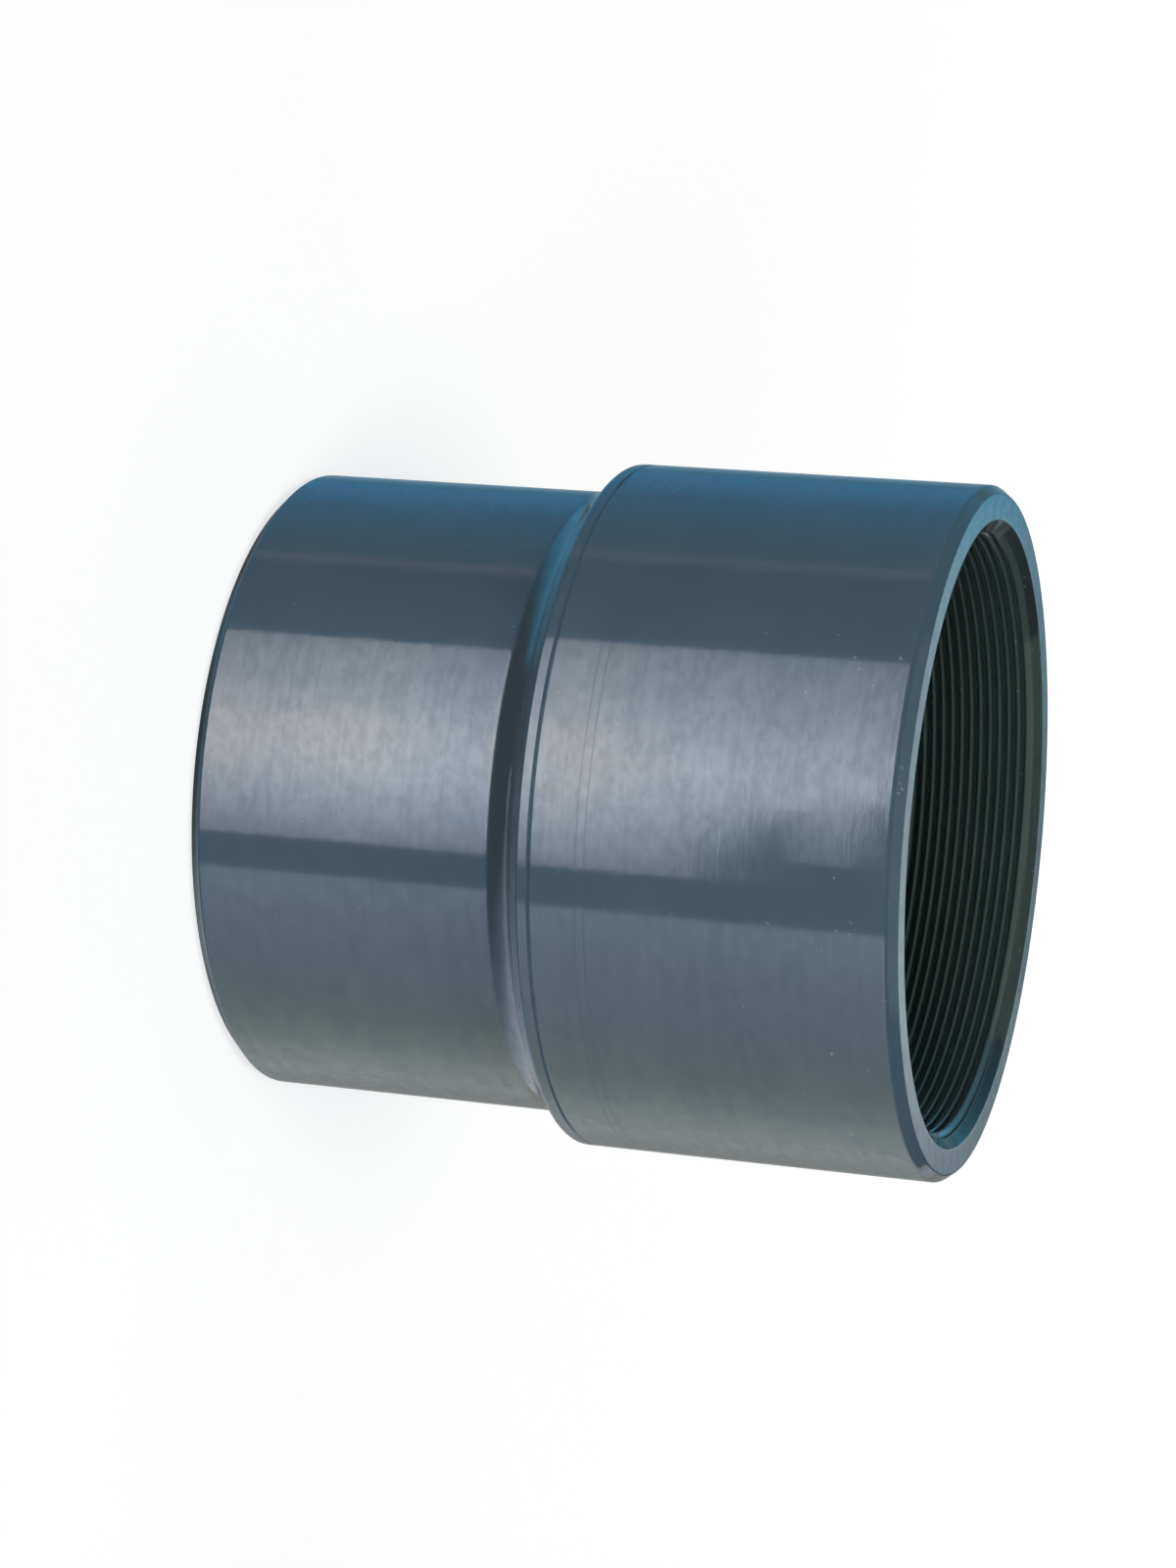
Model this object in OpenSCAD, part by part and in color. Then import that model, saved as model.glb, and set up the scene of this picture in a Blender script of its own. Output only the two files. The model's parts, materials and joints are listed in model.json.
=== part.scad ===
/* [Plain socket end] */
// Bore that takes the end of the pipe
pipe_bore_d = 125.3; // [100:0.1:160]
// Depth of the pipe bore, from the plain face to the pipe stop
pipe_bore_depth = 69; // [50:1:85]
// Wall of the plain end
plain_wall = 9.45; // [8:0.05:12]
// Length of the lead-in taper at the mouth of the pipe bore
lead_in_length = 4; // [2:0.5:8]
// Depth of the lead-in taper, measured on the radius
lead_in_depth = 1.7; // [0.5:0.1:2.5]
// Bevel round the outside of the plain face
plain_bevel = 2.7; // [1:0.1:4]

/* [Threaded socket end] */
// How far the crests of the female thread stand outside the pipe bore, on the radius
crest_offset = 5.085; // [4:0.005:7]
// Wall from the thread crests to the outside
threaded_wall = 11.265; // [9:0.005:15]
// Turns of the thread in one inch
turns_per_inch = 11; // [8:1:14]
// Depth of the thread, as a multiple of its pitch
thread_depth_share = 0.64; // [0.5:0.01:0.7]
// Flat at the crest and at the root of the thread, as a multiple of its pitch
thread_flat_share = 0.165; // [0.1:0.005:0.25]
// Overflow of the countersink past the thread crests, on the radius
countersink_reach = 3.565; // [2:0.005:5]
// Bevel round the outside of the threaded face, along the axis
mouth_bevel_length = 2.2; // [1:0.1:4]
// Bevel round the outside of the threaded face, on the radius
mouth_bevel_depth = 1.8; // [1:0.1:4]

/* [Step between the barrels] */
// Height of the foot of the step above the pipe stop
step_foot_offset = 0.5; // [-4:0.5:6]
// Radius of the hollow curve at the foot of the step, as a multiple of the step
hollow_share = 1.362; // [1.1:0.002:1.8]
// Radius of the rounded rim of the step, as a multiple of the step
rim_share = 0.204; // [0.1:0.002:0.4]
// Distance from the rounded rim to the fine turned groove
groove_offset = 2.35; // [1:0.05:6]
// Width of the fine turned groove
groove_width = 0.9; // [0.4:0.1:1.5]
// Depth of the fine turned groove
groove_depth = 0.35; // [0.1:0.05:0.6]

/* [Inside] */
// Overall length
total_length = 163; // [145:1:200]
// Height of the pipe stop, on the radius
stop_height = 4.1; // [2:0.1:6]
// Length of the narrow bore beyond the pipe stop
waterway_length = 8.5; // [4:0.5:12]
// Length of the plain chamber between the waterway and the thread
chamber_length = 26.35; // [15:0.05:32]
// Depth of the chamber wall inside the thread crests, on the radius
chamber_inset = 2.2; // [1:0.1:4]

/* [Hidden] */

pvc_colour = [0.27, 0.32, 0.36];
ring_facets = 96;
edge_facets = 48;
cut_over = 1;
inch = 25.4;

pipe_bore_r = pipe_bore_d / 2;
plain_r = pipe_bore_r + plain_wall;
lead_in_r = pipe_bore_r + lead_in_depth;
crest_r = pipe_bore_r + crest_offset;
threaded_r = crest_r + threaded_wall;
countersink_r = crest_r + countersink_reach;
waterway_r = pipe_bore_r - stop_height;
chamber_r = crest_r - chamber_inset;

step_rise = threaded_r - plain_r;
step_foot_z = pipe_bore_depth + step_foot_offset;
hollow_r = step_rise * hollow_share;
rim_r = step_rise * rim_share;
curve_span = hollow_r + rim_r;
rim_z = step_foot_z + sqrt(pow(curve_span, 2) - pow(curve_span - step_rise, 2));
hollow_centre = [plain_r + hollow_r, step_foot_z];
rim_centre = [threaded_r - rim_r, rim_z];
groove_z = rim_z + groove_offset;

waterway_top_z = pipe_bore_depth + waterway_length;
chamber_foot_z = waterway_top_z + chamber_r - waterway_r;
chamber_top_z = chamber_foot_z + chamber_length;
thread_foot_z = chamber_top_z + chamber_inset;
thread_top_z = total_length - countersink_reach;

pitch = inch / turns_per_inch;
thread_depth = pitch * thread_depth_share;
thread_flat = pitch * thread_flat_share;
turn_count = floor((thread_top_z - thread_foot_z) / pitch);

module plain_barrel_half() {
    polygon([
        [0, 0],
        [plain_r - plain_bevel, 0],
        [plain_r, plain_bevel],
        [plain_r, step_foot_z],
        [0, step_foot_z]
    ]);
}

module step_half() {
    difference() {
        polygon([
            [0, step_foot_z],
            hollow_centre,
            rim_centre,
            [0, rim_z]
        ]);
        translate(hollow_centre)
            circle(r = hollow_r, $fn = edge_facets);
    }
    translate(rim_centre)
        circle(r = rim_r, $fn = edge_facets);
}

module threaded_barrel_half() {
    polygon([
        [0, rim_z],
        [threaded_r, rim_z],
        [threaded_r, groove_z - groove_width / 2],
        [threaded_r - groove_depth, groove_z],
        [threaded_r, groove_z + groove_width / 2],
        [threaded_r, total_length - mouth_bevel_length],
        [threaded_r - mouth_bevel_depth, total_length],
        [0, total_length]
    ]);
}

module passage_half() {
    polygon([
        [0, -cut_over],
        [lead_in_r, -cut_over],
        [lead_in_r, 0],
        [pipe_bore_r, lead_in_length],
        [pipe_bore_r, pipe_bore_depth],
        [waterway_r, pipe_bore_depth],
        [waterway_r, waterway_top_z],
        [chamber_r, chamber_foot_z],
        [chamber_r, chamber_top_z],
        [crest_r, thread_foot_z],
        [crest_r, thread_top_z],
        [countersink_r, total_length],
        [countersink_r, total_length + cut_over],
        [0, total_length + cut_over]
    ]);
}

// One turn of the thread as a ring of its true section, open towards the bore
module turn_half() {
    polygon([
        [crest_r - cut_over, (thread_flat - pitch) / 2],
        [crest_r, (thread_flat - pitch) / 2],
        [crest_r + thread_depth, -thread_flat / 2],
        [crest_r + thread_depth, thread_flat / 2],
        [crest_r, (pitch - thread_flat) / 2],
        [crest_r - cut_over, (pitch - thread_flat) / 2]
    ]);
}

module thread_half() {
    for (turn = [1 : turn_count])
        translate([0, thread_top_z - (turn - 0.5) * pitch])
            turn_half();
}

module adapter_body() {
    color(pvc_colour)
        rotate_extrude($fn = ring_facets)
            difference() {
                union() {
                    plain_barrel_half();
                    step_half();
                    threaded_barrel_half();
                }
                passage_half();
                thread_half();
            }
}

adapter_body();
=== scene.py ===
import json
import math

import bpy
from mathutils import Matrix, Vector


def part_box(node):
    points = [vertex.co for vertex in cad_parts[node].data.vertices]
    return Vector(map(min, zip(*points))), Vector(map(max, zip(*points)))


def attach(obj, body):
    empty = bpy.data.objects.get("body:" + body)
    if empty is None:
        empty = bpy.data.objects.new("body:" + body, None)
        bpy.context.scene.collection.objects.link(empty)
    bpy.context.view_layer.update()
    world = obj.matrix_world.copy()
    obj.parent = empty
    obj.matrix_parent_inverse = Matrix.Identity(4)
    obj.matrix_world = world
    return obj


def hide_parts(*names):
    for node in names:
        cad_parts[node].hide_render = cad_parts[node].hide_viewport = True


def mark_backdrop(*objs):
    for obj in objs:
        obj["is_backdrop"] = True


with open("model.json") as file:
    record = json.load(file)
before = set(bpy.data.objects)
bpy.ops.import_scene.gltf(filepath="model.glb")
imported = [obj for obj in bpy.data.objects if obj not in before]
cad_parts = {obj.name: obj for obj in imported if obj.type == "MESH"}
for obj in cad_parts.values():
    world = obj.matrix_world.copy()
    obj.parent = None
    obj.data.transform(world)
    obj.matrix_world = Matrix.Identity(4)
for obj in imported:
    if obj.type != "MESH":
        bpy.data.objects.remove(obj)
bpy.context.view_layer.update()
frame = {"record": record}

MM = 0.001

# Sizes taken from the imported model.
mounts = {m["name"]: m for m in frame["record"]["mounts"]}
body_low, body_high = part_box("adapter_body")
total_length = body_high.z
threaded_r = body_high.x
pipe_bore_r = mounts["pipe_socket"]["dims"]["r_mm"] * MM
crest_r = mounts["threaded_socket"]["dims"]["r_mm"] * MM
thread_length = mounts["threaded_socket"]["dims"]["length_mm"] * MM

# Sizes repeated from the part's source, in metres.
pipe_bore_depth = 69 * MM
plain_r = pipe_bore_r + 9.45 * MM
lead_in_length = 4 * MM
lead_in_depth = 1.7 * MM
plain_bevel = 2.7 * MM
countersink_reach = 3.565 * MM
mouth_bevel_length = 2.2 * MM
mouth_bevel_depth = 1.8 * MM
step_foot_z = pipe_bore_depth + 0.5 * MM
step_rise = threaded_r - plain_r
hollow_r = step_rise * 1.362
rim_r = step_rise * 0.204
groove_offset = 2.35 * MM
groove_width = 0.9 * MM
groove_depth = 0.35 * MM
waterway_r = pipe_bore_r - 4.1 * MM
waterway_top_z = pipe_bore_depth + 8.5 * MM
chamber_r = crest_r - 2.2 * MM
chamber_foot_z = waterway_top_z + chamber_r - waterway_r
thread_top_z = total_length - countersink_reach
thread_foot_z = thread_top_z - thread_length
chamber_top_z = thread_foot_z - (crest_r - chamber_r)

# The female thread: eleven turns to the inch, 55 degree rounded form, right hand.
pitch = 25.4 * MM / 11
thread_depth = 0.640327 * pitch
thread_round_r = 0.137329 * pitch
flank_angle = math.radians(27.5)
rows_per_pitch = 11
thread_start_angle = math.radians(190)

# Faint lines that the lathe left on the large barrel.
scored_line_z = (92.4 * MM, 94.4 * MM)
scored_line_width = 0.35 * MM

# Height from which light scuffs grow denser towards the mouth.
scuffed_from_z = 115 * MM

# Mesh resolution.
columns = 256
corner_steps = 4
guard_row = 0.35 * MM

# The camera, found from the outlines in the photograph.
camera_distance = 916.5 * MM
camera_height = 351.4 * MM
camera_pitch = math.radians(-17.07)
camera_yaw = math.radians(0.26)
camera_roll = math.radians(94.75)
focal_length_mm = 94.56
sensor_mm = 36


def lin(red, green, blue):
    """An 8-bit screen colour as linear light."""
    def one(c):
        c = c / 255
        return c / 12.92 if c <= 0.04045 else ((c + 0.055) / 1.055) ** 2.4
    return (one(red), one(green), one(blue), 1)


# ---- Shape ----

def soften(corners):
    """Rounds each (r, z, radius) corner with an arc, and puts a guard row either side of it."""
    out = []
    for i, (r, z, radius) in enumerate(corners):
        here = Vector((r, z))
        if radius == 0 or i in (0, len(corners) - 1):
            out.append((r, z))
            continue
        before = (Vector(corners[i - 1][:2]) - here)
        after = (Vector(corners[i + 1][:2]) - here)
        bend = before.angle(after)
        reach = radius / math.tan(bend / 2)
        reach = min(reach, before.length * 0.45, after.length * 0.45)
        radius = reach * math.tan(bend / 2)
        start, end = here + before.normalized() * reach, here + after.normalized() * reach
        middle = here + (before.normalized() + after.normalized()).normalized() * (radius / math.sin(bend / 2))
        if before.length > 2 * (reach + guard_row):
            out.append(tuple(here + before.normalized() * (reach + guard_row)))
        for k in range(corner_steps + 1):
            t = k / corner_steps
            spoke = (start - middle).lerp(end - middle, t)
            out.append(tuple(middle + spoke.normalized() * radius))
        if after.length > 2 * (reach + guard_row):
            out.append(tuple(here + after.normalized() * (reach + guard_row)))
    return out


def arc(centre, radius, start, end, steps):
    """Points on an arc in the (r, z) plane; angles in degrees from +r towards +z."""
    points = []
    for k in range(steps + 1):
        a = math.radians(start + (end - start) * k / steps)
        points.append((centre[0] + radius * math.cos(a), centre[1] + radius * math.sin(a)))
    return points


def step_curve():
    """The hollow curve and rounded rim between the two barrels, from the large one to the small one."""
    span = hollow_r + rim_r
    rise = math.sqrt(span ** 2 - (span - step_rise) ** 2)
    lean = math.degrees(math.atan2(rise, span - step_rise))
    rim_centre = (threaded_r - rim_r, step_foot_z + rise)
    hollow_centre = (plain_r + hollow_r, step_foot_z)
    rim = arc(rim_centre, rim_r, 0, -lean, 8)
    hollow = arc(hollow_centre, hollow_r, 180 - lean, 180, 20)
    return rim + hollow[1:], step_foot_z + rise


def outside_profile():
    """From the mouth's inner edge, over the outside, to the edge of the plain end's bore."""
    curve, rim_z = step_curve()
    groove_z = rim_z + groove_offset
    upper = soften([
        (crest_r + countersink_reach - 0.6 * MM, total_length - 0.6 * MM, 0),
        (crest_r + countersink_reach, total_length, 0.25 * MM),
        (threaded_r - mouth_bevel_depth, total_length, 0.35 * MM),
        (threaded_r, total_length - mouth_bevel_length, 1.2 * MM),
        (threaded_r, groove_z + groove_width / 2, 0.12 * MM),
        (threaded_r - groove_depth, groove_z, 0.1 * MM),
        (threaded_r, groove_z - groove_width / 2, 0.12 * MM),
        (threaded_r, rim_z + guard_row, 0),
    ])
    lower = soften([
        (plain_r, step_foot_z - guard_row, 0),
        (plain_r, plain_bevel, 0.45 * MM),
        (plain_r - plain_bevel, 0, 0.5 * MM),
        (pipe_bore_r + lead_in_depth, 0, 0.4 * MM),
        (pipe_bore_r, lead_in_length, 0.6 * MM),
        (pipe_bore_r, pipe_bore_depth, 0.5 * MM),
        (waterway_r, pipe_bore_depth, 0.5 * MM),
        (waterway_r, waterway_top_z, 1.5 * MM),
        (chamber_r, chamber_foot_z, 2.5 * MM),
        (chamber_r, chamber_top_z, 0.4 * MM),
        (crest_r, thread_foot_z, 0),
    ])
    return upper + curve + lower


def thread_form(turn):
    """Depth of the thread below its crests at a place counted in turns; 0 is the middle of a groove."""
    across = abs(turn - round(turn)) * pitch
    flat = thread_round_r * math.cos(flank_angle)
    if across < flat:
        return thread_depth - thread_round_r + math.sqrt(thread_round_r ** 2 - across ** 2)
    from_crest = pitch / 2 - across
    if from_crest < flat:
        return thread_round_r - math.sqrt(thread_round_r ** 2 - from_crest ** 2)
    return thread_depth / 2 - (across - pitch / 4) / math.tan(flank_angle)


def thread_radius(z, angle):
    """Radius of the threaded wall: grooves fade in over the last turn inside, and cut the countersink outside."""
    turn = (z - thread_foot_z) / pitch - (angle - thread_start_angle) / math.tau
    fade = min(1, max(0, (z - thread_foot_z) / pitch))
    grooved = crest_r + thread_form(turn) * fade
    cone = crest_r + max(0, z - thread_top_z)
    return max(grooved, cone)


def body_mesh():
    rows = [[(r, z)] * columns for r, z in outside_profile()]
    thread_high = total_length - 0.6 * MM
    count = round((thread_high - thread_foot_z) / pitch * rows_per_pitch)
    for k in range(1, count):
        z = thread_foot_z + (thread_high - thread_foot_z) * k / count
        rows.append([(thread_radius(z, math.tau * c / columns), z) for c in range(columns)])
    points, faces = [], []
    for row in rows:
        for c, (r, z) in enumerate(row):
            a = math.tau * c / columns
            points.append((r * math.cos(a), r * math.sin(a), z))
    for i in range(len(rows)):
        this, after = i * columns, ((i + 1) % len(rows)) * columns
        for c in range(columns):
            d = (c + 1) % columns
            faces.append((this + c, after + c, after + d, this + d))
    mesh = bpy.data.meshes.new("adapter_skin")
    mesh.from_pydata(points, [], faces)
    mesh.validate()
    mesh.shade_smooth()
    return mesh


# ---- Materials ----

def link(tree, a, out, b, into):
    tree.links.new(a.outputs[out], b.inputs[into])


def node(tree, kind, **values):
    n = tree.nodes.new(kind)
    for key, value in values.items():
        if hasattr(n, key):
            setattr(n, key, value)
        else:
            n.inputs[key.replace("_", " ")].default_value = value
    return n


def stretched(tree, source, x, y, z):
    m = node(tree, "ShaderNodeMapping")
    m.inputs["Scale"].default_value = (x, y, z)
    link(tree, source, "Object", m, "Vector")
    return m


def noise(tree, vector, scale, detail=4.0, roughness=0.55):
    n = tree.nodes.new("ShaderNodeTexNoise")
    n.inputs["Scale"].default_value = scale
    n.inputs["Detail"].default_value = detail
    n.inputs["Roughness"].default_value = roughness
    link(tree, vector, "Vector", n, "Vector")
    return n


def spread(tree, source, low, high, out="Fac", from_low=0.3, from_high=0.7):
    m = tree.nodes.new("ShaderNodeMapRange")
    m.inputs["From Min"].default_value = from_low
    m.inputs["From Max"].default_value = from_high
    m.inputs["To Min"].default_value = low
    m.inputs["To Max"].default_value = high
    tree.links.new(source.outputs[out], m.inputs["Value"])
    return m


def bump(tree, source, out, distance, strength=1.0, under=None):
    b = tree.nodes.new("ShaderNodeBump")
    b.inputs["Strength"].default_value = strength
    b.inputs["Distance"].default_value = distance
    tree.links.new(source.outputs[out], b.inputs["Height"])
    if under is not None:
        link(tree, under, "Normal", b, "Normal")
    return b


def painted_thread_light_and_hollow_shade(tree, place, tint):
    """The threaded wall is painted duller and greener than the skin, a painted tint standing in for warm light inside
    the mouth; its countersink is darker, and the step's hollow is darkened with painted shade.
    """
    flat = tree.nodes.new("ShaderNodeMapping")
    flat.inputs["Scale"].default_value = (1, 1, 0)
    link(tree, place, "Object", flat, "Vector")
    off_axis = tree.nodes.new("ShaderNodeVectorMath")
    off_axis.operation = "LENGTH"
    link(tree, flat, "Vector", off_axis, "Vector")
    band_start, band_end = crest_r - 1 * MM, crest_r + 5 * MM
    across = spread(tree, off_axis, 0, 1, out="Value", from_low=band_start, from_high=band_end)
    # painted light: the threaded wall takes a greener tint that stands in for warm light inside the mouth; the
    # countersink is darker
    painted_thread_light, cone_tint = lin(60, 77, 76), lin(38, 50, 52)
    cut = blend(tree, tint, "Color", across, [
        ((crest_r - 0.5 * MM - band_start) / (band_end - band_start), painted_thread_light, 0),
        ((crest_r - 0.2 * MM - band_start) / (band_end - band_start), painted_thread_light, 1),
        ((crest_r + 1.5 * MM - band_start) / (band_end - band_start), painted_thread_light, 1),
        ((crest_r + 1.8 * MM - band_start) / (band_end - band_start), cone_tint, 1),
        ((crest_r + 3.3 * MM - band_start) / (band_end - band_start), cone_tint, 1),
        ((crest_r + 3.55 * MM - band_start) / (band_end - band_start), cone_tint, 0),
    ])
    split = tree.nodes.new("ShaderNodeSeparateXYZ")
    link(tree, place, "Object", split, "Vector")
    hollow_start, hollow_end = step_foot_z, step_foot_z + 20 * MM
    up = spread(tree, split, 0, 1, out="Z", from_low=hollow_start, from_high=hollow_end)
    # painted shade: the step's hollow is darkened where less light reaches its downward-facing curve
    painted_hollow_shade = lin(50, 63, 70)
    return blend(tree, cut, "Result", up, [
        (0.01, painted_hollow_shade, 0),
        (0.07, painted_hollow_shade, 1),
        (0.43, painted_hollow_shade, 1),
        (0.48, painted_hollow_shade, 0),
    ])


def blend(tree, under, out, along, stops):
    """Lays the stops' colours over what is under; each stop has a place, a colour and how much it covers."""
    ramp = tree.nodes.new("ShaderNodeValToRGB")
    while len(ramp.color_ramp.elements) > 1:
        ramp.color_ramp.elements.remove(ramp.color_ramp.elements[0])
    for k, (at, tint, cover) in enumerate(stops):
        stop = ramp.color_ramp.elements[0] if k == 0 else ramp.color_ramp.elements.new(at)
        stop.position = at
        stop.color = (*tint[:3], cover)
    tree.links.new(along.outputs["Result"], ramp.inputs["Fac"])
    mix = tree.nodes.new("ShaderNodeMix")
    mix.data_type = "RGBA"
    tree.links.new(under.outputs[out], mix.inputs["A"])
    tree.links.new(ramp.outputs["Color"], mix.inputs["B"])
    tree.links.new(ramp.outputs["Alpha"], mix.inputs["Factor"])
    return mix


def scored_lines(tree, place, film):
    """Two faint lines turned into the large barrel's skin, where the film is thin."""
    split = tree.nodes.new("ShaderNodeSeparateXYZ")
    link(tree, place, "Object", split, "Vector")
    for z in scored_line_z:
        there = tree.nodes.new("ShaderNodeMath")
        there.operation = "COMPARE"
        there.inputs[1].default_value = z
        there.inputs[2].default_value = scored_line_width / 2
        tree.links.new(split.outputs["Z"], there.inputs[0])
        thinner = tree.nodes.new("ShaderNodeMath")
        thinner.operation = "MULTIPLY_ADD"
        thinner.use_clamp = True
        thinner.inputs[1].default_value = -0.4
        tree.links.new(there.outputs["Value"], thinner.inputs[0])
        tree.links.new(film.outputs[0], thinner.inputs[2])
        film = thinner
    return film


def pvc_material():
    """Dark blue-grey PVC: an even colour, a shallow waviness, fine turning rings and a few light scuffs, with a
    painted light tint on the thread and painted shade in the step's hollow.
    """
    material = bpy.data.materials.new("dark_pvc")
    material.use_nodes = True
    tree = material.node_tree
    shader = tree.nodes["Principled BSDF"]
    place = tree.nodes.new("ShaderNodeTexCoord")

    cloud = noise(tree, stretched(tree, place, 0.5, 0.5, 1), 60, 3)
    tint = tree.nodes.new("ShaderNodeValToRGB")
    tint.color_ramp.elements[0].position = 0.32
    tint.color_ramp.elements[0].color = lin(58, 78, 93)
    tint.color_ramp.elements[1].position = 0.7
    tint.color_ramp.elements[1].color = lin(63, 83, 97)
    tree.links.new(cloud.outputs["Fac"], tint.inputs["Fac"])

    speck_spots = noise(tree, stretched(tree, place, 1, 1, 1), 560, 2, 0.5)
    specks = spread(tree, speck_spots, 0, 1, from_low=0.72, from_high=0.82)
    scuffed = tree.nodes.new("ShaderNodeMix")
    scuffed.data_type = "RGBA"
    scuffed.inputs["B"].default_value = lin(150, 160, 165)
    # the base colour carries painted light on the thread and painted shade in the step's hollow
    tree.links.new(painted_thread_light_and_hollow_shade(tree, place, tint).outputs["Result"], scuffed.inputs["A"])
    split = tree.nodes.new("ShaderNodeSeparateXYZ")
    link(tree, place, "Object", split, "Vector")
    handled = spread(tree, split, 0.2, 0.7, out="Z", from_low=scuffed_from_z, from_high=total_length)
    faint = tree.nodes.new("ShaderNodeMath")
    faint.operation = "MULTIPLY"
    tree.links.new(specks.outputs["Result"], faint.inputs[0])
    tree.links.new(handled.outputs["Result"], faint.inputs[1])
    tree.links.new(faint.outputs["Value"], scuffed.inputs["Factor"])
    tree.links.new(scuffed.outputs["Result"], shader.inputs["Base Color"])

    patches = noise(tree, stretched(tree, place, 0.6, 0.6, 1), 120, 5)
    rough = spread(tree, patches, 0.06, 0.11)
    tree.links.new(rough.outputs["Result"], shader.inputs["Roughness"])
    haze = noise(tree, stretched(tree, place, 0.7, 0.7, 1), 300, 5, 0.85)
    streaks = noise(tree, stretched(tree, place, 0.02, 0.02, 1), 700, 3, 0.7)
    smeared = tree.nodes.new("ShaderNodeMath")
    smeared.operation = "MULTIPLY_ADD"
    smeared.inputs[1].default_value = 0.35
    tree.links.new(streaks.outputs["Fac"], smeared.inputs[0])
    tree.links.new(haze.outputs["Fac"], smeared.inputs[2])
    film = spread(tree, smeared, 0.1, 0.4, out="Value", from_low=0.57, from_high=0.78)
    scored = scored_lines(tree, place, film)
    tree.links.new(scored.outputs["Value"], shader.inputs["Coat Weight"])
    shader.inputs["Coat Roughness"].default_value = 0.08
    shader.inputs["Specular IOR Level"].default_value = 0.38

    waves = noise(tree, stretched(tree, place, 0.55, 0.55, 1), 150, 2, 0.5)
    wavy = bump(tree, waves, "Fac", 0.02 * MM)
    rings = noise(tree, stretched(tree, place, 0.002, 0.002, 1), 1500, 3, 0.6)
    turned = bump(tree, rings, "Fac", 0.003 * MM, under=wavy)
    grain = noise(tree, stretched(tree, place, 0.6, 0.6, 1), 700, 3, 0.6)
    grained = bump(tree, grain, "Fac", 0.004 * MM, under=turned)
    link(tree, grained, "Normal", shader, "Normal")
    link(tree, grained, "Normal", shader, "Coat Normal")

    shader.inputs["IOR"].default_value = 1.52
    return material


def glow_material(name, strength, colour=None, ramp=None):
    """An emitter for the cards and boxes that only reflections see; ramp gives colours by direction."""
    material = bpy.data.materials.new(name)
    material.use_nodes = True
    tree = material.node_tree
    tree.nodes.clear()
    emit = tree.nodes.new("ShaderNodeEmission")
    emit.inputs["Strength"].default_value = strength
    out = tree.nodes.new("ShaderNodeOutputMaterial")
    link(tree, emit, "Emission", out, "Surface")
    if colour is not None:
        emit.inputs["Color"].default_value = colour
    if ramp is not None:
        place = tree.nodes.new("ShaderNodeUVMap")
        split = tree.nodes.new("ShaderNodeSeparateXYZ")
        link(tree, place, "UV", split, "Vector")
        band = tree.nodes.new("ShaderNodeValToRGB")
        stops = band.color_ramp.elements
        while len(stops) > 1:
            stops.remove(stops[0])
        for k, (at, tint) in enumerate(ramp):
            stop = stops[0] if k == 0 else stops.new(at)
            stop.position = at
            stop.color = tint
        tree.links.new(split.outputs["X"], band.inputs["Fac"])
        link(tree, band, "Color", emit, "Color")
    return material


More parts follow.
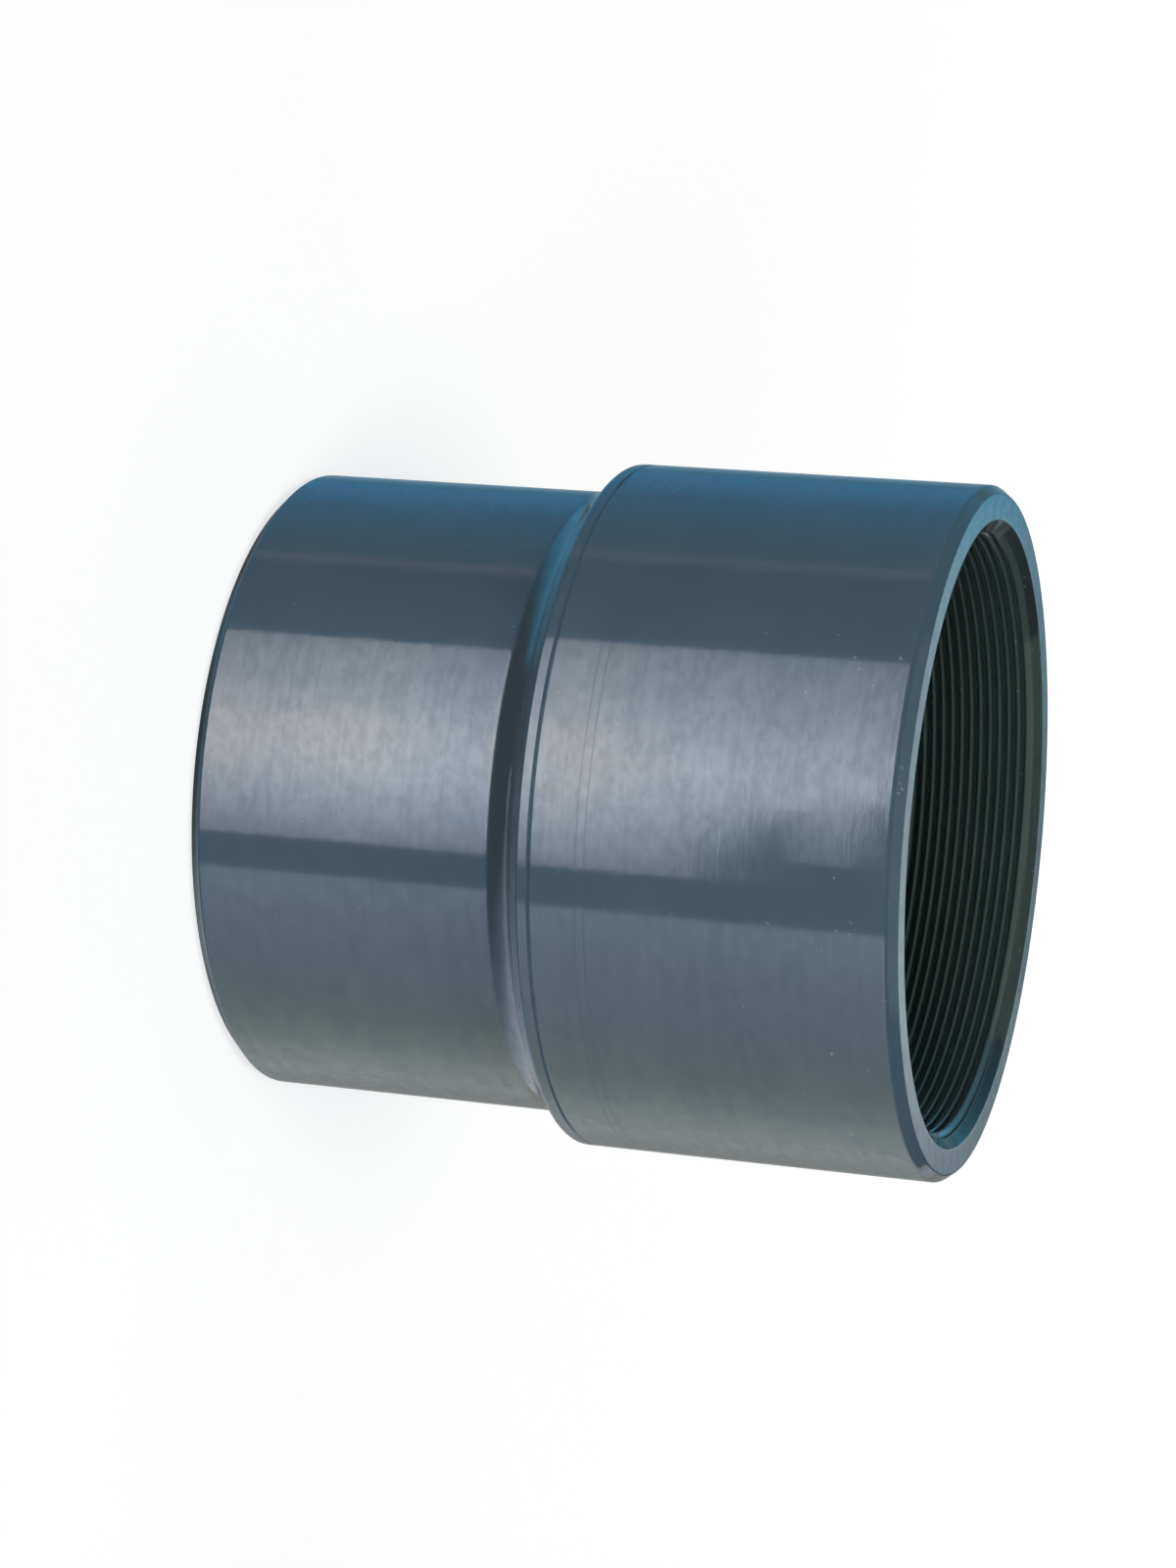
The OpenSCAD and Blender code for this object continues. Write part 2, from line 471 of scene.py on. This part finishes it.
def softbox_material(azimuths, elevations):
    """The large soft light that the barrels mirror: brighter in places along both ways, with faint warm patches."""
    by_azimuth = [
        (-21.5, 2.28, 2.50, 2.75),
        (-14.3, 3.57, 3.84, 4.45),
        (-8.2, 4.65, 5.10, 5.80),
        (-2, 5.65, 6.10, 6.80),
        (4, 6.80, 7.10, 7.55),
        (12.3, 7.60, 7.65, 7.95),
        (20.5, 6.95, 6.95, 7.20),
        (28.7, 5.45, 5.75, 6.10),
        (36.8, 4.40, 4.70, 5.10),
        (43, 3.90, 4.15, 4.45),
        (53, 2.70, 2.90, 3.10),
    ]
    by_elevation = [
        (-23.5, 1.05, 0.96, 0.88),
        (-22.6, 0.92, 0.86, 0.89),
        (-20.6, 1.20, 1.14, 1.05),
        (-18.7, 0.85, 0.90, 0.99),
        (-17.3, 0.85, 0.90, 0.95),
        (-16.8, 1.30, 1.13, 1.01),
        (-16.3, 1.12, 1.02, 0.94),
        (-15.3, 0.94, 0.92, 0.92),
        (-13.5, 0.87, 0.91, 0.97),
        (-11.9, 0.74, 0.79, 0.90),
        (-10.4, 0.95, 0.95, 0.98),
    ]
    material = bpy.data.materials.new("softbox_cloth")
    material.use_nodes = True
    tree = material.node_tree
    tree.nodes.clear()
    place = tree.nodes.new("ShaderNodeUVMap")
    split = tree.nodes.new("ShaderNodeSeparateXYZ")
    link(tree, place, "UV", split, "Vector")
    sides = []
    for axis, (start, end), stops in (("X", azimuths, by_azimuth), ("Y", elevations, by_elevation)):
        band = tree.nodes.new("ShaderNodeValToRGB")
        while len(band.color_ramp.elements) > 1:
            band.color_ramp.elements.remove(band.color_ramp.elements[0])
        for k, (degrees, red, green, blue) in enumerate(stops):
            at = (degrees - start) / (end - start)
            stop = band.color_ramp.elements[0] if k == 0 else band.color_ramp.elements.new(at)
            stop.position = at
            stop.color = (red, green, blue, 1)
        tree.links.new(split.outputs[axis], band.inputs["Fac"])
        sides.append(band)
    stretch = tree.nodes.new("ShaderNodeMapping")
    stretch.inputs["Scale"].default_value = (10, 36, 1)
    link(tree, place, "UV", stretch, "Vector")
    patches = noise(tree, stretch, 1, 5, 0.7)
    patch_tint = tree.nodes.new("ShaderNodeValToRGB")
    patch_tint.color_ramp.elements[0].position = 0.35
    patch_tint.color_ramp.elements[0].color = (0.88, 0.93, 1.0, 1)
    patch_tint.color_ramp.elements[1].position = 0.65
    patch_tint.color_ramp.elements[1].color = (1.12, 1.07, 1.0, 1)
    tree.links.new(patches.outputs["Fac"], patch_tint.inputs["Fac"])
    product = multiply(tree, multiply(tree, sides[0], "Color", sides[1], "Color"), "Result", patch_tint, "Color")
    emit = tree.nodes.new("ShaderNodeEmission")
    tree.links.new(product.outputs["Result"], emit.inputs["Color"])
    out = tree.nodes.new("ShaderNodeOutputMaterial")
    link(tree, emit, "Emission", out, "Surface")
    return material


def multiply(tree, a, a_out, b, b_out):
    mix = tree.nodes.new("ShaderNodeMix")
    mix.data_type = "RGBA"
    mix.blend_type = "MULTIPLY"
    mix.inputs["Factor"].default_value = 1
    tree.links.new(a.outputs[a_out], mix.inputs["A"])
    tree.links.new(b.outputs[b_out], mix.inputs["B"])
    return mix


def floor_material():
    """Pale matt floor. It shows white to the camera and in reflections, and keeps the shadow."""
    material = bpy.data.materials.new("pale_floor")
    material.use_nodes = True
    tree = material.node_tree
    tree.nodes.clear()
    matt = tree.nodes.new("ShaderNodeBsdfDiffuse")
    matt.inputs["Color"].default_value = (0.45, 0.45, 0.45, 1)
    glow = tree.nodes.new("ShaderNodeEmission")
    glow.inputs["Color"].default_value = (0.98, 1, 1.03, 1)
    path = tree.nodes.new("ShaderNodeLightPath")
    seen = tree.nodes.new("ShaderNodeMath")
    seen.operation = "MAXIMUM"
    seen_too = tree.nodes.new("ShaderNodeMath")
    seen_too.operation = "MAXIMUM"
    lift = tree.nodes.new("ShaderNodeMath")
    lift.operation = "MULTIPLY"
    lift.inputs[1].default_value = floor_lift
    add = tree.nodes.new("ShaderNodeAddShader")
    out = tree.nodes.new("ShaderNodeOutputMaterial")
    tree.links.new(path.outputs["Is Camera Ray"], seen.inputs[0])
    tree.links.new(path.outputs["Is Glossy Ray"], seen.inputs[1])
    tree.links.new(seen.outputs["Value"], seen_too.inputs[0])
    tree.links.new(path.outputs["Is Transmission Ray"], seen_too.inputs[1])
    tree.links.new(seen_too.outputs["Value"], lift.inputs[0])
    tree.links.new(lift.outputs["Value"], glow.inputs["Strength"])
    tree.links.new(matt.outputs["BSDF"], add.inputs[0])
    tree.links.new(glow.outputs["Emission"], add.inputs[1])
    tree.links.new(add.outputs["Shader"], out.inputs["Surface"])
    return material


# ---- Studio ----

horizon_fill = 0.5
zenith_fill = 0.05
fill_fades_by = 0.25
floor_lift = 0.72
overhead_power = 1.3
studio_r = 2.0
studio_z = 0.08


def around(azimuth, elevation, radius):
    """A place in the studio. Azimuth 0 is towards the camera, and positive towards the photograph's top."""
    a, e = math.radians(azimuth), math.radians(elevation)
    return (-radius * math.sin(a), -radius * math.cos(a), studio_z + radius * math.tan(e))


def add_object(name, mesh, material):
    o = bpy.data.objects.new(name, mesh)
    bpy.context.scene.collection.objects.link(o)
    o.data.materials.append(material)
    return o


def only_in_reflections(o):
    o.visible_camera = False
    o.visible_diffuse = False
    o.visible_shadow = False
    o.visible_transmission = False
    o.visible_volume_scatter = False
    return o


def card(name, outline, radius, material):
    """A card bent round the object, as azimuth and elevation corners."""
    mesh = bpy.data.meshes.new(name)
    mesh.from_pydata([around(a, e, radius) for a, e in outline], [], [tuple(range(len(outline)))])
    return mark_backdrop(only_in_reflections(add_object(name, mesh, material)))


def wall(name, from_azimuth, to_azimuth, levels, radius, material):
    """A curved wall in steps of a few degrees, with u running along its azimuth and v up it."""
    steps = max(2, round(abs(to_azimuth - from_azimuth) / 4))
    points, faces, places = [], [], []
    for k in range(steps + 1):
        t = k / steps
        for level in levels:
            points.append(around(from_azimuth + (to_azimuth - from_azimuth) * t, level, radius))
            places.append((t, (level - levels[0]) / (levels[-1] - levels[0])))
    tall = len(levels)
    for k in range(steps):
        for j in range(tall - 1):
            a = k * tall + j
            faces.append((a, a + 1, a + tall + 1, a + tall))
    mesh = bpy.data.meshes.new(name)
    mesh.from_pydata(points, [], faces)
    layer = mesh.uv_layers.new(name="along")
    for loop in mesh.loops:
        layer.data[loop.index].uv = places[loop.vertex_index]
    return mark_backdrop(only_in_reflections(add_object(name, mesh, material)))


def soft_light(name, azimuth, elevation, distance, size, power, colour):
    data = bpy.data.lights.new(name, "AREA")
    data.shape = "DISK"
    data.size = size
    data.energy = power
    data.color = colour
    o = bpy.data.objects.new(name, data)
    a, e = math.radians(azimuth), math.radians(elevation)
    way = Vector((-math.sin(a) * math.cos(e), -math.cos(a) * math.cos(e), math.sin(e)))
    o.location = Vector((0, 0, studio_z)) + way * distance
    o.rotation_mode = "QUATERNION"
    o.rotation_quaternion = way.to_track_quat("Z", "Y")
    o.visible_glossy = False
    o.visible_camera = False
    bpy.context.scene.collection.objects.link(o)
    return o


def overhead_light():
    """A wide soft light from above and in front, which reaches into the mouth and casts the shadow on the floor."""
    data = bpy.data.lights.new("overhead", "SUN")
    data.energy = overhead_power
    data.angle = math.radians(30)
    data.color = (1, 0.94, 0.80)
    o = bpy.data.objects.new("overhead", data)
    o.rotation_euler = (math.radians(25), 0, 0)
    o.visible_glossy = False
    bpy.context.scene.collection.objects.link(o)


def ring(name, levels, bands):
    """A wall all the way round, coloured by azimuth; bands run from -180 to 180."""
    ramp = [((azimuth + 180) / 360, (red, green, blue, 1)) for azimuth, red, green, blue in bands]
    wall(name, -180, 180, levels, studio_r, glow_material(name + "_cloth", 1, ramp=ramp))


def build_studio():
    # What the barrels' sides mirror, going round from the photograph's lower edge to its top.
    ring("belt", [-26, -20, -13, -6, 0, 6], (
        (-180, 0.12, 0.12, 0.12),
        (-166, 0.31, 0.33, 0.33),
        (-160, 0.28, 0.28, 0.24),
        (-148, 0.43, 0.42, 0.37),
        (-136, 0.73, 0.70, 0.62),
        (-120, 0.95, 0.92, 0.74),
        (-95, 0.86, 0.75, 0.45),
        (-80, 0.86, 0.85, 0.67),
        (-60, 1.10, 1.12, 1.25),
        (-47, 1.27, 1.39, 1.60),
        (-38, 1.50, 1.75, 2.02),
        (-35, 1.50, 1.75, 2.02),
        (-34, 0.35, 0.40, 0.45),
        (-20, 0.30, 0.32, 0.35),
        (50, 0.34, 0.38, 0.58),
        (65, 0.27, 0.30, 0.44),
        (78, 0.17, 0.20, 0.32),
        (85.5, 0.14, 0.17, 0.24),
        (86.5, 0.46, 0.50, 0.56),
        (90, 0.46, 0.50, 0.56),
        (91, 0.17, 0.29, 0.42),
        (98, 0.16, 0.32, 0.49),
        (106, 0.12, 0.35, 0.54),
        (114, 0.10, 0.33, 0.62),
        (122, 0.08, 0.31, 0.58),
        (130, 0.06, 0.325, 0.64),
        (144, 0.05, 0.30, 0.58),
        (152, 0.05, 0.23, 0.37),
        (158.5, 0.12, 0.265, 0.39),
        (166, 0.22, 0.38, 0.49),
        (174, 0.10, 0.14, 0.16),
    ))
    # The hollow of the step and the bevel of the plain end mirror what lies low.
    ring("low", [-26, -35, -45, -60, -66], (
        (-180, 0.12, 0.10, 0.08),
        (-160, 0.20, 0.20, 0.20),
        (-150, 0.75, 0.76, 0.80),
        (-140, 0.85, 0.90, 1.00),
        (-115, 1.00, 1.15, 1.35),
        (-85, 0.55, 0.75, 1.00),
        (-60, 0.30, 0.42, 0.52),
        (-40, 0.06, 0.06, 0.06),
        (60, 0.05, 0.06, 0.07),
        (76, 0.05, 0.06, 0.07),
        (86, 0.05, 0.27, 0.44),
        (111, 0.08, 0.60, 1.10),
        (140, 0.10, 0.50, 0.93),
        (151, 0.10, 0.34, 0.55),
        (158, 0.10, 0.09, 0.08),
        (179, 0.12, 0.10, 0.08),
    ))
    ring("lowest", [-66, -75, -85], (
        (-180, 0.07, 0.07, 0.07),
        (-160, 0.15, 0.15, 0.15),
        (-150, 0.75, 0.76, 0.80),
        (-140, 0.85, 0.90, 1.00),
        (-115, 1.00, 1.15, 1.35),
        (-85, 0.55, 0.75, 1.00),
        (-60, 0.25, 0.35, 0.42),
        (-40, 0.05, 0.06, 0.07),
        (179, 0.05, 0.06, 0.07),
    ))
    # The face of the mouth mirrors what stands behind.
    ring("behind", [6, 13.3], (
        (-180, 0.15, 0.22, 0.27),
        (-171, 0.15, 0.22, 0.27),
        (-168, 0.05, 0.06, 0.07),
        (-160, 0.30, 0.32, 0.34),
        (-149, 0.60, 0.62, 0.64),
        (-135, 0.40, 0.42, 0.44),
        (-120, 0.08, 0.08, 0.08),
        (120, 0.05, 0.10, 0.14),
        (171, 0.12, 0.28, 0.36),
        (176, 0.14, 0.26, 0.33),
    ))
    ring("high", [13.3, 24, 36, 50], (
        (-180, 0.60, 0.77, 0.82),
        (-176.5, 0.74, 0.92, 0.96),
        (-174.8, 0.65, 0.80, 0.85),
        (-173.6, 0.44, 0.54, 0.61),
        (-172.5, 0.40, 0.50, 0.56),
        (-171, 0.05, 0.06, 0.07),
        (-60, 0.05, 0.06, 0.07),
        (60, 0.05, 0.06, 0.07),
        (120, 0.08, 0.25, 0.40),
        (168, 0.10, 0.40, 0.62),
        (173.3, 0.18, 0.62, 0.92),
        (174.5, 0.40, 0.72, 0.88),
        (177, 0.54, 0.72, 0.82),
        (179.8, 0.60, 0.77, 0.82),
    ))
    ceiling = glow_material("ceiling_cloth", 1, colour=(0.42, 0.58, 0.51, 1))
    card("ceiling", [(a, 50) for a in range(0, 360, 15)], studio_r, ceiling)

    box_azimuths, box_elevations = (-21.5, 53), (-25.4, -9.6)
    levels = [box_elevations[0] + (box_elevations[1] - box_elevations[0]) * k / 8 for k in range(9)]
    cloth = softbox_material(box_azimuths, box_elevations)
    wall("softbox", *box_azimuths, levels, studio_r * 0.95, cloth)
    flag = glow_material("flag_cloth", 1, colour=(0.31, 0.33, 0.36, 1))
    card("flag", [(-24, -13.9), (-20.9, -13.5), (-15.2, -13.1), (-10.8, -12.8), (-5, -12.5), (0, -12.4),
                  (3, -12.1), (3, -11.65), (-4, -11.5), (-13, -11.35), (-14, -10.75), (-6, -10.5), (4, -10.3),
                  (7, -9.9), (7, -9), (-24, -9)], studio_r * 0.9, flag)

    overhead_light()
    soft_light("key", -20, -2, 1.8, 1.6, 33, (1, 1, 1))
    soft_light("top_fill", 80, -2, 1.8, 1.6, 16, (1, 1, 1))
    soft_light("bottom_fill", -110, -2, 1.8, 1.6, 13, (1, 1, 1))
    soft_light("back_fill", 180, -2, 1.8, 1.6, 20, (1, 1, 1))

    disc = bpy.data.meshes.new("floor")
    rim = 48
    disc.from_pydata([(6 * math.cos(math.tau * k / rim), 6 * math.sin(math.tau * k / rim), 0) for k in range(rim)],
                     [], [tuple(range(rim))])
    floor = add_object("floor", disc, floor_material())
    floor.visible_glossy = False
    floor.visible_shadow = False

    world = bpy.data.worlds.new("studio_air")
    bpy.context.scene.world = world
    world.use_nodes = True
    tree = world.node_tree
    back = tree.nodes["Background"]
    path = tree.nodes.new("ShaderNodeLightPath")
    direct = tree.nodes.new("ShaderNodeMath")
    direct.operation = "MAXIMUM"
    direct_too = tree.nodes.new("ShaderNodeMath")
    direct_too.operation = "MAXIMUM"
    place = tree.nodes.new("ShaderNodeTexCoord")
    split = tree.nodes.new("ShaderNodeSeparateXYZ")
    link(tree, place, "Generated", split, "Vector")
    fill = tree.nodes.new("ShaderNodeMapRange")
    fill.inputs["From Max"].default_value = fill_fades_by
    fill.inputs["To Min"].default_value = horizon_fill
    fill.inputs["To Max"].default_value = zenith_fill
    tree.links.new(split.outputs["Z"], fill.inputs["Value"])
    level = tree.nodes.new("ShaderNodeMix")
    tree.links.new(fill.outputs["Result"], level.inputs["A"])
    level.inputs["B"].default_value = 1.0
    tree.links.new(path.outputs["Is Camera Ray"], direct.inputs[0])
    tree.links.new(path.outputs["Is Glossy Ray"], direct.inputs[1])
    tree.links.new(direct.outputs["Value"], direct_too.inputs[0])
    tree.links.new(path.outputs["Is Transmission Ray"], direct_too.inputs[1])
    tree.links.new(direct_too.outputs["Value"], level.inputs["Factor"])
    tree.links.new(level.outputs["Result"], back.inputs["Strength"])
    back.inputs["Color"].default_value = (1, 1, 1, 1)


def build_camera():
    data = bpy.data.cameras.new("camera")
    data.sensor_width = sensor_mm
    data.lens = focal_length_mm
    o = bpy.data.objects.new("camera", data)
    level_look = Matrix.Rotation(camera_yaw, 4, "Z") @ Matrix.Rotation(math.radians(90) + camera_pitch, 4, "X")
    o.matrix_world = (Matrix.Translation((0, -camera_distance, camera_height))
                      @ level_look @ Matrix.Rotation(camera_roll, 4, "Z"))
    bpy.context.scene.collection.objects.link(o)
    bpy.context.scene.camera = o


build_camera()
build_studio()
adapter = add_object("adapter", body_mesh(), pvc_material())
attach(adapter, "root")
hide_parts("adapter_body")

bpy.context.scene.view_settings.view_transform = "Standard"
